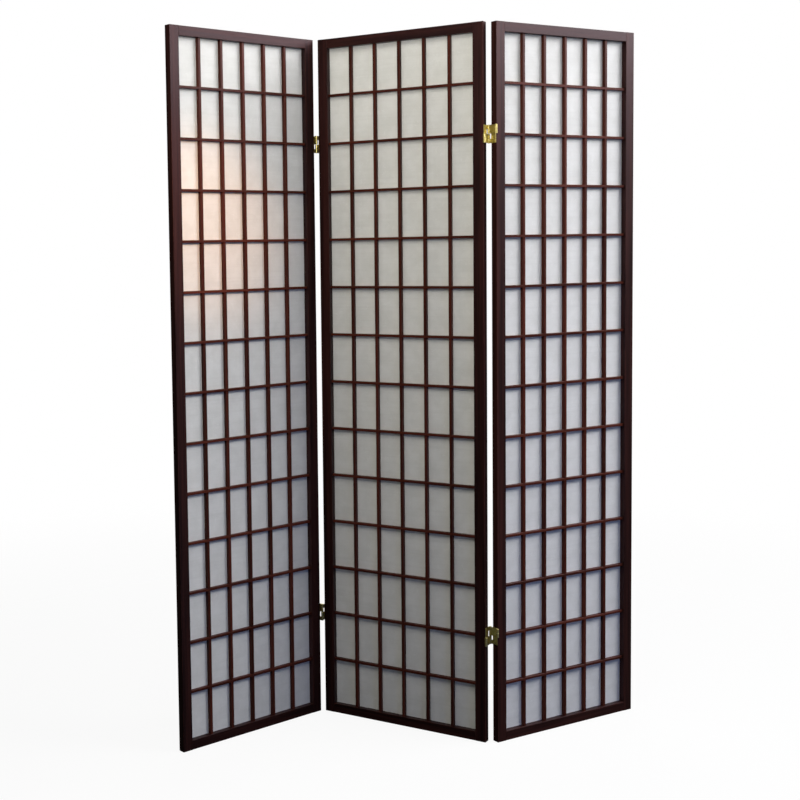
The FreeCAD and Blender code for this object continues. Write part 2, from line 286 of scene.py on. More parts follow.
@dataclass(frozen=True)
class Member:
    """The box that a wooden member fills when flat, or the first of a row of equal ones."""

    low: Point
    high: Point
    grain: Grain
    pitch: float | None = None

    def depths(self, bench: Bench, place: bpy.types.NodeSocket) -> list[Wire]:
        """How far inside the member's nearest face a point is along each axis.

        It is half the size less the distance from the middle. Across a row, the distance is to the nearest member's
        middle.

        Args:
            bench: the material's bench.
            place: the socket of the flat place.

        Returns:
            The depths along X, Y and Z, in metres.
        """
        made = []
        split = bench.node("SeparateXYZ", {}, {0: place})
        row_axis = 0 if self.grain is Grain.UPRIGHT else 2
        for axis in range(3):
            along = Wire(bench, split.outputs[axis])
            middle = (self.low[axis] + self.high[axis]) / 2
            half = (self.high[axis] - self.low[axis]) / 2
            if self.pitch and axis == row_axis:
                away = bench.math("PINGPONG", along - middle, self.pitch / 2)
            else:
                away = abs(along - middle)
            made.append(half - away)
        return made


@dataclass(frozen=True)
class LacquerFinish:
    """Dark cherry lacquer over softwood: streaks along the grain, closed pores, and paler rubbed edges."""

    deep: Colour
    ruddy: Colour
    worn: Colour
    sheen: Colour = (1.0, 0.56, 0.64)
    gloss: float = 0.36
    shine: float = 0.19
    coat: float = 0.06
    coat_gloss: float = 0.22
    streak_cells: float = 140.0
    streak_band: tuple[float, float] = (0.30, 0.72)
    pore_cells: float = 900.0
    pore_band: tuple[float, float] = (0.60, 0.74)
    mottle_cells: Point = (38.0, 38.0, 38.0)
    mottle_band: tuple[float, float] = (0.35, 0.62)
    rub_width: float = 0.0011
    relief: float = 0.00012

    def material(self, name: str, swing: Swing, member: Member) -> bpy.types.Material:
        """Makes the finish for one member.

        The colour goes from deep to ruddy with the streaks. A rubbed edge is where the second smallest depth inside
        the member's box is less than the rub's width, and pores darken the colour and roughen it. A band is the two
        values of a noise between which what it drives rises from nothing to all.

        Args:
            name: the material's name.
            swing: where the member's panel stands.
            member: the member's box and grain.

        Returns:
            The material.
        """
        bench = Bench(name)
        place = swing.place(bench)
        broad = bench.noise(place, member.grain.stretched(self.streak_cells / 4), detail=2.0)
        streaks = bench.noise(place, member.grain.stretched(self.streak_cells), detail=4.0, roughness=0.62)
        pores = bench.noise(place, member.grain.stretched(self.pore_cells), detail=2.0).step(*self.pore_band)
        mottle = bench.noise(place, self.mottle_cells)
        edge = self.rubbed(bench, place, member, mottle)
        tone = (streaks * 0.65 + broad * 0.55 - 0.10).step(*self.streak_band)
        colour = bench.mix(tone, self.deep, self.ruddy)
        colour = bench.mix(pores * 0.45, colour, tuple(c * 0.4 for c in self.deep))
        colour = bench.mix(edge * 0.75, colour, self.worn)
        height = streaks * 0.6 - pores * 0.5 + mottle * 0.5
        shader = bench.node(
            "BsdfPrincipled",
            {},
            {
                "Base Color": colour,
                "Roughness": self.gloss + streaks * 0.16 + pores * 0.12 + edge * 0.10,
                "Coat Weight": self.coat - edge * 0.03 - pores * 0.02,
                "Coat Roughness": self.coat_gloss,
                "IOR": 1.5,
                "Specular IOR Level": self.shine,
                "Specular Tint": (*self.sheen, 1.0),
                "Normal": bench.bump(height, self.relief),
            },
        )
        return bench.finished(shader.outputs[0])

    def rubbed(self, bench: Bench, place: bpy.types.NodeSocket, member: Member, mottle: Wire) -> Wire:
        """How rubbed a point is, from 0 to 1, which falls from 1 at the member's edges and comes and goes along them.

        Args:
            bench: the material's bench.
            place: the socket of the flat place.
            member: the member's box.
            mottle: noise that breaks the rub up.

        Returns:
            The rub.
        """
        x, y, z = member.depths(bench, place)
        second = x.least(y).most(x.most(y).least(z))
        return second.step(self.rub_width, 0.0) * mottle.step(*self.mottle_band)


@dataclass(frozen=True)
class PaperFinish:
    """White rice paper: long pale fibres lying every way, cloudy where the pulp is thicker, and light comes through."""

    thin: Colour = (0.80, 0.795, 0.775)
    thick: Colour = (0.86, 0.855, 0.84)
    fibre: Colour = (0.93, 0.93, 0.92)
    # painted shade: the colour that the bands darken the paper towards, standing in for the shade of its ripples
    shadow: Colour = (0.74, 0.735, 0.715)
    light_through: float = 0.30
    fibre_cells: float = 85.0
    fibre_width: float = 0.010
    cloud_cells: Point = (26.0, 26.0, 26.0)
    band_cells: Point = (3.0, 3.0, 120.0)
    pulp_cells: Point = (1500.0, 1500.0, 1500.0)
    gap_cells: Point = (60.0, 60.0, 60.0)
    relief: float = 0.00020

    def material(self, name: str, swing: Swing) -> bpy.types.Material:
        """Makes the finish for one sheet.

        A fibre is where a stretched noise is near a half, so that its level line is a long wandering thread. Two sets
        of fibres cross, with gaps in them. Faint bands across the sheet are raised a little, and are darkened towards
        the shadow colour as painted shade of the sheet's ripples.

        Args:
            name: the material's name.
            swing: where the sheet's panel stands.

        Returns:
            The material.
        """
        bench = Bench(name)
        place = swing.place(bench)
        cloud = bench.noise(place, self.cloud_cells, detail=5.0, roughness=0.6)
        bands = bench.noise(place, self.band_cells, roughness=0.6)
        pulp = bench.noise(place, self.pulp_cells, detail=2.0)
        upright = self.fibres(bench, place, (self.fibre_cells, 9.0, self.fibre_cells * 0.3))
        lying = self.fibres(bench, place, (self.fibre_cells * 0.25, 9.0, self.fibre_cells))
        gaps = bench.noise(place, self.gap_cells, detail=1.0).step(0.42, 0.62)
        threads = upright.most(lying) * gaps
        colour = bench.mix(cloud.step(0.32, 0.68), self.thin, self.thick)
        # painted shade: the bands darken the paper towards the shadow colour, in place of the shade its ripples cast
        colour = bench.mix(bands.step(0.45, 0.75) * 0.35, colour, self.shadow)
        colour = bench.mix(threads * 0.5, colour, self.fibre)
        height = threads * 0.25 + bands * 1.6 + pulp * 0.5 + cloud * 0.8
        normal = bench.bump(height, self.relief)
        front = bench.node(
            "BsdfPrincipled",
            {},
            {
                "Base Color": colour,
                "Roughness": 0.78 - threads * 0.14,
                "IOR": 1.45,
                "Sheen Weight": 0.12,
                "Sheen Roughness": 0.5,
                "Normal": normal,
            },
        )
        through = bench.node("BsdfTranslucent", {}, {"Color": colour, "Normal": normal})
        both = bench.node("MixShader", {}, {0: self.light_through, 1: front.outputs[0], 2: through.outputs[0]})
        return bench.finished(both.outputs[0])

    def fibres(self, bench: Bench, place: bpy.types.NodeSocket, stretch: Point) -> Wire:
        """Threads along a noise's level line: 1 where it is a half, falling to 0 at the fibre's width to each side.

        Args:
            bench: the material's bench.
            place: the socket of the flat place.
            stretch: how many of the noise's cells there are to the metre along each axis.

        Returns:
            The threads.
        """
        return abs(bench.noise(place, stretch, detail=0.8, roughness=0.4) - 0.5).step(self.fibre_width, 0.0)


@dataclass(frozen=True)
class BrassFinish:
    """Pressed brass sheet under thin lacquer: bright where it is rubbed, greener and duller in patches."""

    bright: Colour = (0.72, 0.61, 0.25)
    dull: Colour = (0.46, 0.40, 0.13)
    gloss: float = 0.29
    patch_cells: Point = (190.0, 190.0, 190.0)
    line_cells: Point = (2600.0, 2600.0, 120.0)
    relief: float = 0.00002

    def material(self, name: str) -> bpy.types.Material:
        """Makes the finish. Patches come from coarse noise, and the drawn lines from noise stretched along Z.

        Args:
            name: the material's name.

        Returns:
            The material.
        """
        bench = Bench(name)
        place = bench.node("TexCoord").outputs["Object"]
        patches = bench.noise(place, self.patch_cells, detail=4.0, roughness=0.65).step(0.38, 0.66)
        lines = bench.noise(place, self.line_cells, detail=2.0)
        colour = bench.mix(patches * 0.6, self.bright, self.dull)
        shader = bench.node(
            "BsdfPrincipled",
            {},
            {
                "Base Color": colour,
                "Metallic": 1.0,
                "Roughness": self.gloss + patches * 0.14 + lines * 0.10,
                "Normal": bench.bump(lines + patches * 0.15, self.relief),
            },
        )
        return bench.finished(shader.outputs[0])


FRAME_LACQUER = LacquerFinish(
    deep=(0.008, 0.0030, 0.0026), ruddy=(0.034, 0.0100, 0.0080), worn=(0.075, 0.022, 0.014)
)
LATTICE_LACQUER = LacquerFinish(
    deep=(0.030, 0.0070, 0.0040), ruddy=(0.084, 0.0185, 0.0105), worn=(0.14, 0.040, 0.024), shine=0.12, rub_width=0.0009
)
PAPER = PaperFinish()
BRASS = BrassFinish()
SCREW_BRASS = BrassFinish(bright=(0.74, 0.64, 0.30), dull=(0.44, 0.37, 0.15), gloss=0.20)


# ---------------------------------------------------------------- surfaces
@dataclass
class Skin:
    """Surfaces gathered for one mesh."""

    points: list[np.ndarray] = field(default_factory=list)
    faces: list[np.ndarray] = field(default_factory=list)

    def grid(self, points: np.ndarray, closed: bool = False) -> "Skin":
        """Adds a surface of quads over a grid of points.

        Args:
            points: rows by columns by 3.
            closed: whether each row ends where it starts.

        Returns:
            The skin itself.
        """
        rows, columns = points.shape[:2]
        first = sum(len(p) for p in self.points)
        numbers = first + np.arange(rows * columns).reshape(rows, columns)
        if closed:
            numbers = np.hstack([numbers, numbers[:, :1]])
        corners = (numbers[:-1, :-1], numbers[:-1, 1:], numbers[1:, 1:], numbers[1:, :-1])
        self.faces.append(np.stack(corners, axis=-1).reshape(-1, 4))
        self.points.append(points.reshape(-1, 3))
        return self

    def mesh_object(self, name: str, place: "Placing", sharp_above: float = 35.0) -> bpy.types.Object:
        """Makes the mesh, with meeting edges joined, its faces pointing outwards and shaded smooth.

        Args:
            name: the object's name.
            place: what takes the points to where they are at rest, in metres.
            sharp_above: the angle in degrees past which an edge stays sharp.

        Returns:
            The object.
        """
        mesh = bpy.data.meshes.new(name)
        mesh.from_pydata(place(np.concatenate(self.points)), [], np.concatenate(self.faces).tolist())
        shape = bmesh.new()
        shape.from_mesh(mesh)
        bmesh.ops.remove_doubles(shape, verts=shape.verts, dist=SAME_POINT)
        bmesh.ops.recalc_face_normals(shape, faces=shape.faces)
        shape.to_mesh(mesh)
        shape.free()
        mesh.polygons.foreach_set("use_smooth", np.ones(len(mesh.polygons), bool))
        mesh.set_sharp_from_angle(angle=math.radians(sharp_above))
        made = bpy.data.objects.new(name, mesh)
        bpy.context.scene.collection.objects.link(made)
        return made


@dataclass(frozen=True)
class Placing:
    """What takes a piece's own points to where they are at rest: scaled, moved flat, then swung with the panel."""

    swing: Swing
    origin: Point = (0.0, 0.0, 0.0)
    scale: float = 1.0

    def __call__(self, points: np.ndarray) -> np.ndarray:
        """The points at rest."""
        return self.swing.turned(points * self.scale + np.array(self.origin))


# ---------------------------------------------------------------- a panel
@dataclass
class Panel:
    """One panel of the screen: a frame of two stiles and two rails round a lattice, and the paper behind it."""

    name: str
    swing: Swing
    inner_uprights: int = 5
    inner_cross_bars: int = 13
    columns: int = 84
    rows: int = 336
    slack: float = 0.0007
    hump_power: float = 0.7
    ripple: float = 0.00012
    ripple_count: float = 96.0

    def node(self, part: str) -> bpy.types.Object:
        """The CAD node of one of the panel's parts."""
        return frame["nodes"][f"{self.name}_{part}"]

    def flat_box(self, part: str) -> tuple[np.ndarray, np.ndarray]:
        """The lowest and highest corner of one of the panel's parts, when flat."""
        mesh = self.node(part).data
        points = np.empty(len(mesh.vertices) * 3, np.float32)
        mesh.vertices.foreach_get("co", points)
        flat = self.swing.flattened(points.reshape(-1, 3).astype(float))
        return flat.min(axis=0), flat.max(axis=0)

    def row(self, part: str, count: int, grain: Grain, opening: float) -> Member:
        """The first member of a row of equal bars that share an opening evenly.

        The row's span is count - 1 pitches and a width, and the opening is count + 1 pitches less a width, so the
        pitch is their sum over twice the count.

        Args:
            part: the node that holds the row.
            count: how many bars there are.
            grain: which way they run.
            opening: the clear size of the frame across them.

        Returns:
            The first bar.
        """
        low, high = self.flat_box(part)
        axis = 0 if grain is Grain.UPRIGHT else 2
        pitch = (high[axis] - low[axis] + opening) / (2 * count)
        high[axis] -= (count - 1) * pitch
        return Member(tuple(low), tuple(high), grain, pitch)

    def dress(self) -> None:
        """Gives the frame and the lattice their lacquer."""
        members = {}
        for part, grain in (
            ("left_stile", Grain.UPRIGHT),
            ("right_stile", Grain.UPRIGHT),
            ("top_rail", Grain.ACROSS),
            ("bottom_rail", Grain.ACROSS),
        ):
            members[part] = Member(*map(tuple, self.flat_box(part)), grain)
        width = members["right_stile"].low[0] - members["left_stile"].high[0]
        height = members["top_rail"].low[2] - members["bottom_rail"].high[2]
        members["uprights"] = self.row("uprights", self.inner_uprights, Grain.UPRIGHT, width)
        members["cross_bars"] = self.row("cross_bars", self.inner_cross_bars, Grain.ACROSS, height)
        for part, member in members.items():
            finish = LATTICE_LACQUER if member.pitch else FRAME_LACQUER
            node = self.node(part)
            node.data.materials.clear()
            node.data.materials.append(finish.material(f"{self.name}_{part}_lacquer", self.swing, member))
            log.info("%s dressed in lacquer", node.name)

    def paper_points(self, low: np.ndarray, high: np.ndarray) -> np.ndarray:
        """The middle of the paper as a function of the share across u and the share up v.

        It lies on the lattice and is slack between the bars: the slack is the product of two humps, each the sine of
        the place in its opening, to a power. Fine ripples across the sheet have a height that wanders, as the sum of
        two slow sines of both shares.

        Args:
            low: the lowest flat corner of the sheet.
            high: its highest.

        Returns:
            Rows by columns by 3 points.
        """
        u, v = np.meshgrid(np.linspace(0, 1, self.columns + 1), np.linspace(0, 1, self.rows + 1))
        across = np.abs(np.sin(np.pi * u * (self.inner_uprights + 1)))
        up = np.abs(np.sin(np.pi * v * (self.inner_cross_bars + 1)))
        hump = (across * up) ** self.hump_power
        wander = np.sin(9.0 * u + 4.0 * np.sin(7.0 * v)) + np.sin(23.0 * v + 5.0 * u)
        ripples = np.sin(2 * np.pi * self.ripple_count * v + 1.6 * wander) * (0.5 + 0.25 * wander)
        depth = self.slack * hump * (0.65 + 0.17 * wander) + self.ripple * ripples * hump
        middle = (low[1] + high[1]) / 2
        x = low[0] + u * (high[0] - low[0])
        z = low[2] + v * (high[2] - low[2])
        return np.stack([x, middle + depth, z], axis=-1)

    def hang_paper(self) -> bpy.types.Object:
        """Makes the paper sheet, which stands for the CAD one, and returns it."""
        low, high = self.flat_box("paper")
        skin = Skin().grid(self.paper_points(low, high))
        sheet = skin.mesh_object(f"{self.name}_paper_sheet", Placing(self.swing))
        thickness = sheet.modifiers.new("thickness", "SOLIDIFY")
        thickness.thickness = float(high[1] - low[1])
        thickness.offset = 0.0
        sheet.data.materials.append(PAPER.material(f"{self.name}_rice_paper", self.swing))
        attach(sheet, self.name)
        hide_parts(f"{self.name}_paper")
        float(high[0] - low[0])
        float(high[2] - low[2])
        log.info("%s hung, %.0f by %.0f mm", sheet.name, (high[0] - low[0]) / MM, (high[2] - low[2]) / MM)
        return sheet


# ---------------------------------------------------------------- a hinge
class Side(Enum):
    """The two leaves of a hinge: the right one as it is drawn, and the left one turned half round the Y axis."""

    LEFT = -1.0
    RIGHT = 1.0

    def turned(self, points: np.ndarray) -> np.ndarray:
        """Points of the right side, taken to this one: X and Z change sign together for the left."""
        return points * np.array([self.value, 1.0, self.value])


def smooth(share: np.ndarray) -> np.ndarray:
    """A share from 0 to 1, eased at both ends: three squares less two cubes."""
    return share * share * (3.0 - 2.0 * share)


def strip(line: np.ndarray, thickness: float, span: tuple[float, float], ease: float = 0.18) -> np.ndarray:
    """A sheet-metal strip: a line in the XY plane, thickened to both sides and carried up the span.

    The outline is the line plus and minus half the thickness along its normal. Going up, the thickness is nothing,
    then less by twice the ease, then full, and the same again to the other end, so that the strip is closed and its
    long edges are eased.

    Args:
        line: the strip's middle, as points by 2.
        thickness: the metal's thickness.
        span: the heights of its two ends.
        ease: how far its edges are rounded.

    Returns:
        A closed grid of points.
    """
    along = np.gradient(line, axis=0)
    along /= np.linalg.norm(along, axis=1, keepdims=True)
    normal = np.stack([-along[:, 1], along[:, 0]], axis=-1)
    heights = np.array([span[0], span[0], span[0] + ease, span[1] - ease, span[1], span[1]])
    half = thickness / 2
    offsets = np.array([0.0, half - ease, half, half, half - ease, 0.0])[:, None, None] * normal
    sides = np.concatenate([line + offsets, (line - offsets)[:, ::-1]], axis=1)
    return np.concatenate([sides, np.broadcast_to(heights[:, None, None], (*sides.shape[:2], 1))], axis=-1)


def slab(low: Point, high: Point, corner: float = 1.2, ease: float = 0.2, around: int = 12) -> np.ndarray:
    """A plate in the YZ plane with round corners and eased edges.

    The outline is four quarter circles of the corner's radius. It goes from a pole at the middle of one face, out to
    the edge less the ease, across the thickness, and back to a pole at the middle of the other face.

    Args:
        low: its lowest corner.
        high: its highest.
        corner: the radius of its corners.
        ease: how far its edges are rounded.
        around: the points to each corner.

    Returns:
        A closed grid of points.
    """
    angle = np.linspace(0, np.pi / 2, around)[None] + np.arange(4)[:, None] * np.pi / 2
    middle = (np.array(low) + np.array(high)) / 2
    half = (np.array(high) - np.array(low)) / 2
    signs = np.array([[1, 1], [-1, 1], [-1, -1], [1, -1]])
    centres = signs * (half[1:] - corner)
    spokes = np.stack([np.cos(angle), np.sin(angle)], axis=-1)
    eased, full = ((centres[:, None] + radius * spokes).reshape(-1, 2) for radius in (corner - ease, corner))
    pole = np.zeros_like(full)
    outlines = np.stack([pole, eased, full, full, eased, pole]) + middle[1:]
    places = np.array([low[0], low[0], low[0] + ease, high[0] - ease, high[0], high[0]])
    return np.concatenate([np.broadcast_to(places[:, None, None], (*outlines.shape[:2], 1)), outlines], axis=-1)


def turning(profile: np.ndarray, centre: tuple[float, float], angles: np.ndarray) -> np.ndarray:
    """A profile of radius and height, turned about an upright line through a centre.

    Args:
        profile: points by radius and height.
        centre: where the line is.
        angles: the angles at which the profile stands.

    Returns:
        A closed grid of points.
    """
    x = centre[0] + profile[:, :1] * np.cos(angles)
    y = centre[1] + profile[:, :1] * np.sin(angles)
    return np.stack([x, y, np.broadcast_to(profile[:, 1:], x.shape)], axis=-1)


@dataclass
class Hinge:
    """A two-way hinge in its own frame: X across the gap, Y back from the panels' fronts, Z up, in millimetres.

    Each leaf has a plate on its stile's end face and rolls a front knuckle and a back knuckle. Two links join the
    leaves, the upper one from the right leaf's front pin to the left leaf's back pin. A screw's slots are in shares
    of its head's radius, and the two "meets" say how far behind the front face a rolled strip joins its plate.
    """

    name: str
    swing: Swing
    origin: Point
    finishes: dict[str, bpy.types.Material]
    half_gap: float = 4.5
    depth: float = 19.0
    half_height: float = 22.0
    pin_out: float = 4.0
    metal: float = 1.5
    rolled: float = 1.25
    knuckle: float = 3.3
    knuckle_length: float = 10.5
    rolled_turn: float = 300.0
    leaf_meets: float = 1.6
    link_meets: float = 2.2
    play: float = 0.5
    inset: float = 1.0
    pin: float = 1.6
    pin_head: float = 2.4
    pin_head_height: float = 0.78
    pin_head_rim: float = 0.2
    screw_head: float = 2.8
    screw_shank: float = 1.3
    screw_length: float = 14.0
    screw_tip: float = 3.0
    screw_spacing: float = 14.0
    screw_rim: float = 0.10
    screw_dome: float = 0.30
    slot_depth: float = 0.75
    slot_width: float = 0.10
    slot_reach: float = 0.52
    slot_ease: float = 0.06

    def build(self) -> None:
        """Makes all of the hinge's pieces, which stand for its CAD nodes."""
        leaf, pins, link, screws = self.leaf(), self.pins(), self.link(), self.screws()
        for side in Side:
            word = side.name.lower()
            self.piece(f"{word}_leaf", "rolled", leaf, side, "hinge_brass")
            self.piece(f"{word}_pins", "domed", pins, side, "hinge_brass")
            self.piece(f"{word}_screws", "cross_slot", screws, side, "screw_brass")
        self.piece("upper_link", "rolled", link, Side.RIGHT, "hinge_brass")
        self.piece("lower_link", "rolled", link, Side.LEFT, "hinge_brass")

    def piece(self, part: str, made: str, surfaces: list[tuple[np.ndarray, bool]], side: Side, slot: str) -> None:
        """Makes one piece from the surfaces of its right-hand form.

        Args:
            part: the CAD node's name without the hinge's.
            made: how it is made, which starts the piece's own name.
            surfaces: grids of points, each with whether its rows are closed.
            side: which side it is for.
            slot: the record's material slot, which names its finish.
        """
        node = frame["nodes"][f"{self.name}_{part}"]
        body = node["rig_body"]
        skin = Skin()
        for points, closed in surfaces:
            skin.grid(side.turned(points), closed)
        swing = self.swing if body != "middle_panel" else Swing()
        made_piece = skin.mesh_object(f"{self.name}_{made}_{part}", Placing(swing, self.origin, MM))
        made_piece.data.materials.append(self.finishes[slot])
        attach(made_piece, body)
        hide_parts(node.name)
        log.info("%s made, %d faces", made_piece.name, len(made_piece.data.polygons))

    def roll(self, steps: int = 40) -> np.ndarray:
        """The middle line of a knuckle rolled round the front pin, from its free end to the pin's right.

        It is an arc about the pin with the rolled metal's middle radius.
        """
        angle = np.radians(np.linspace(-self.rolled_turn, 0.0, steps))
        radius = self.knuckle - self.rolled / 2
        return np.column_stack([radius * np.cos(angle), -self.pin_out + radius * np.sin(angle)])

    def ramp(self, end_x: float, end_y: float, steps: int = 14) -> np.ndarray:
        """The line from the pin's right to a point behind: Y rises evenly, and X goes over by an eased share.

        Args:
            end_x: where it ends across the gap.
            end_y: where it ends going back.
            steps: how many points there are, with the one at its start, which is left out.

        Returns:
            Points by 2.
        """
        share = np.linspace(0.0, 1.0, steps)[1:]
        start = self.knuckle - self.rolled / 2
        x = start + (end_x - start) * smooth(share)
        y = -self.pin_out + (end_y + self.pin_out) * share
        return np.column_stack([x, y])

    def leaf(self) -> list[tuple[np.ndarray, bool]]:
        """The right leaf: its plate, its front knuckle above and its back knuckle below."""
        inside = self.half_gap - self.metal
        middle = self.half_gap - self.metal / 2
        plate = slab(
            (inside, self.inset, -self.half_height), (self.half_gap, self.depth - self.inset, self.half_height)
        )
        line = np.vstack([self.roll(), self.ramp(middle, self.inset + self.leaf_meets)])
        front = strip(line, self.rolled, (self.half_height - self.knuckle_length, self.half_height))
        back = self.behind(front) * np.array([1.0, 1.0, -1.0])
        return [(plate, True), (front, True), (back, True)]

    def behind(self, points: np.ndarray) -> np.ndarray:
        """Points in front, reflected to behind the panel's middle plane."""
        return np.stack([points[..., 0], self.depth - points[..., 1], points[..., 2]], axis=-1)

    def link(self) -> list[tuple[np.ndarray, bool]]:
        """The upper link: a plate, and a strip that rolls round the front pin and, turned half round, the back one."""
        front_line = np.vstack([self.roll(), self.ramp(0.0, self.link_meets)])
        back_line = np.array([0.0, self.depth]) - front_line[::-1]
        span = (self.play, self.half_height - self.knuckle_length - self.play)
        rolls = strip(np.vstack([front_line, back_line]), self.rolled, span)
        reach = self.knuckle + self.play - self.pin_out
        half = self.metal / 2
        plate = slab((-half, reach, self.play), (half, self.depth - reach, self.half_height))
        return [(rolls, True), (plate, True)]

    def pins(self) -> list[tuple[np.ndarray, bool]]:
        """The right leaf's two pins: front above and back below, each with a domed head at its far end.

        The profile goes up the axis' side from the middle of the foot, out to the shank, up it, out under the head,
        and over the head by a quarter of an ellipse.
        """
        dome = np.linspace(0.0, np.pi / 2, 8)
        top = self.half_height
        rise = (self.pin_head_height - self.pin_head_rim) * np.sin(dome)
        crown = np.column_stack([self.pin_head * np.cos(dome), top + self.pin_head_rim + rise])
        shank = np.array([[0.0, self.play], [self.pin, self.play], [self.pin, top], [self.pin_head, top]])
        around = np.linspace(0.0, 2 * np.pi, 32, endpoint=False)
        front = turning(np.vstack([shank, crown]), (0.0, -self.pin_out), around)
        return [(front, True), (self.behind(front) * np.array([1.0, 1.0, -1.0]), True)]

    def screws(self) -> list[tuple[np.ndarray, bool]]:
        """The right leaf's three screws, which point along +X, with low domed heads and cross slots.

        The head is a square grid of u and v carried to a disc: x is u times the root of 1 less half of v squared, and
        y likewise. Its height is a dome less the slots, which are where the smaller of the distances from the two
        axes is under half the slot's width and the larger is under half its length.
        """
        edges = np.add.outer([self.slot_width, self.slot_reach], [0.0, self.slot_ease]).ravel()
        steps = np.unique(np.round(np.concatenate([np.linspace(-1, 1, 17), edges, -edges]), 4))
        u, v = np.meshgrid(steps, steps)
        y, z = u * np.sqrt(1 - v**2 / 2), v * np.sqrt(1 - u**2 / 2)
        near, far = np.minimum(abs(u), abs(v)), np.maximum(abs(u), abs(v))
        slots = self.within(near, self.slot_width) * self.within(far, self.slot_reach)
        rise = self.screw_rim + self.screw_dome * (1 - np.minimum(y**2 + z**2, 1.0)) - self.slot_depth * slots
        base = self.half_gap - self.metal
        middle_y = self.depth / 2
        head = np.stack([base - rise, middle_y + self.screw_head * y, self.screw_head * z], axis=-1)
        rim = np.concatenate([head[0, :-1], head[:-1, -1], head[-1, :0:-1], head[:0:-1, 0]])
        tip = self.half_gap + self.screw_length
        places = np.array([base, self.half_gap, tip - self.screw_tip, tip])
        shares = np.array([self.screw_head, self.screw_shank, self.screw_shank, 0.0]) / self.screw_head
        rings = np.broadcast_to(rim, (len(places), *rim.shape)).copy()
        rings[..., 0] = places[:, None]
        rings[..., 1] = middle_y + (rim[:, 1] - middle_y) * shares[:, None]
        rings[..., 2] = rim[:, 2] * shares[:, None]
        body = np.concatenate([rim[None], rings])
        shifts = [np.array([0.0, 0.0, level * self.screw_spacing]) for level in (-1, 0, 1)]
        return [(part + shift, closed) for shift in shifts for part, closed in ((head, False), (body, True))]

    def within(self, away: np.ndarray, edge: float) -> np.ndarray:
        """1 up to an edge of the slots, eased to 0 just past it."""
        return 1 - smooth(np.clip((away - edge) / self.slot_ease, 0, 1))


# ---------------------------------------------------------------- the studio
def hang_lamp(lamp: bpy.types.Light, place: Point, aim: Point) -> bpy.types.Object:
    """Puts a lamp in the scene, turned to its aim and unseen by the camera.

    Args:
        lamp: the lamp.
        place: where it hangs.
        aim: the point that it shines at.

    Returns:
        The lamp's object.
    """
    made = bpy.data.objects.new(lamp.name, lamp)
    made.location = place
    made.rotation_euler = (Vector(aim) - Vector(place)).to_track_quat("-Z", "Y").to_euler()
    made.visible_camera = False
    bpy.context.scene.collection.objects.link(made)
    return made


@dataclass(frozen=True)
class Softbox:
    """A soft rectangular lamp."""

    name: str
    place: Point
    aim: Point
    width: float
    height: float
    power: float
    colour: Colour = (1.0, 1.0, 1.0)

    def build(self) -> bpy.types.Object:
        """Makes the lamp, aimed, and returns it."""
        lamp = bpy.data.lights.new(self.name, "AREA")
        lamp.shape = "RECTANGLE"
        lamp.size, lamp.size_y = self.width, self.height
        lamp.energy, lamp.color = self.power, self.colour
        return hang_lamp(lamp, self.place, self.aim)


@dataclass(frozen=True)
class WarmLamp:
    """A small warm lamp that throws a soft glow on the front of the left panel."""

    place: Point = (0.55, -1.05, 1.72)
    aim: Point = (-0.355, -0.375, 1.32)
    power: float = 34.0
    colour: Colour = (1.0, 0.46, 0.14)
    cone: float = 27.0
    softness: float = 1.0
    radius: float = 0.05

    def build(self) -> bpy.types.Object:
        """Makes the lamp, aimed, and returns it."""
        lamp = bpy.data.lights.new("warm_lamp", "SPOT")
        lamp.energy, lamp.color = self.power, self.colour
        lamp.spot_size, lamp.spot_blend = math.radians(self.cone), self.softness
        lamp.shadow_soft_size = self.radius
        return hang_lamp(lamp, self.place, self.aim)


@dataclass(frozen=True)
class Camera:
    """The camera, placed by where it stands and how it is turned, pitched and rolled."""

    place: Point = (1.51912, -3.05712, 1.24626)
    turn: float = 33.576
    pitch: float = -4.135
    roll: float = 0.983
    lens: float = 59.773
    rise: float = -0.06875
    slide: float = 0.20625
    sensor: float = 36.0

    def build(self) -> bpy.types.Object:
        """Makes the camera, sets it as the scene's, and returns it."""
        data = bpy.data.cameras.new("camera")
        data.lens, data.sensor_width = self.lens, self.sensor
        data.shift_x, data.shift_y = self.slide, self.rise
        made = bpy.data.objects.new("camera", data)
        turns = [
            Matrix.Rotation(math.radians(angle), 4, axis)
            for angle, axis in ((self.turn, "Z"), (self.pitch, "X"), (self.roll, "Y"), (90.0, "X"))
        ]
        made.matrix_world = Matrix.Translation(self.place) @ turns[0] @ turns[1] @ turns[2] @ turns[3]
        bpy.context.scene.collection.objects.link(made)
        bpy.context.scene.camera = made
        return made


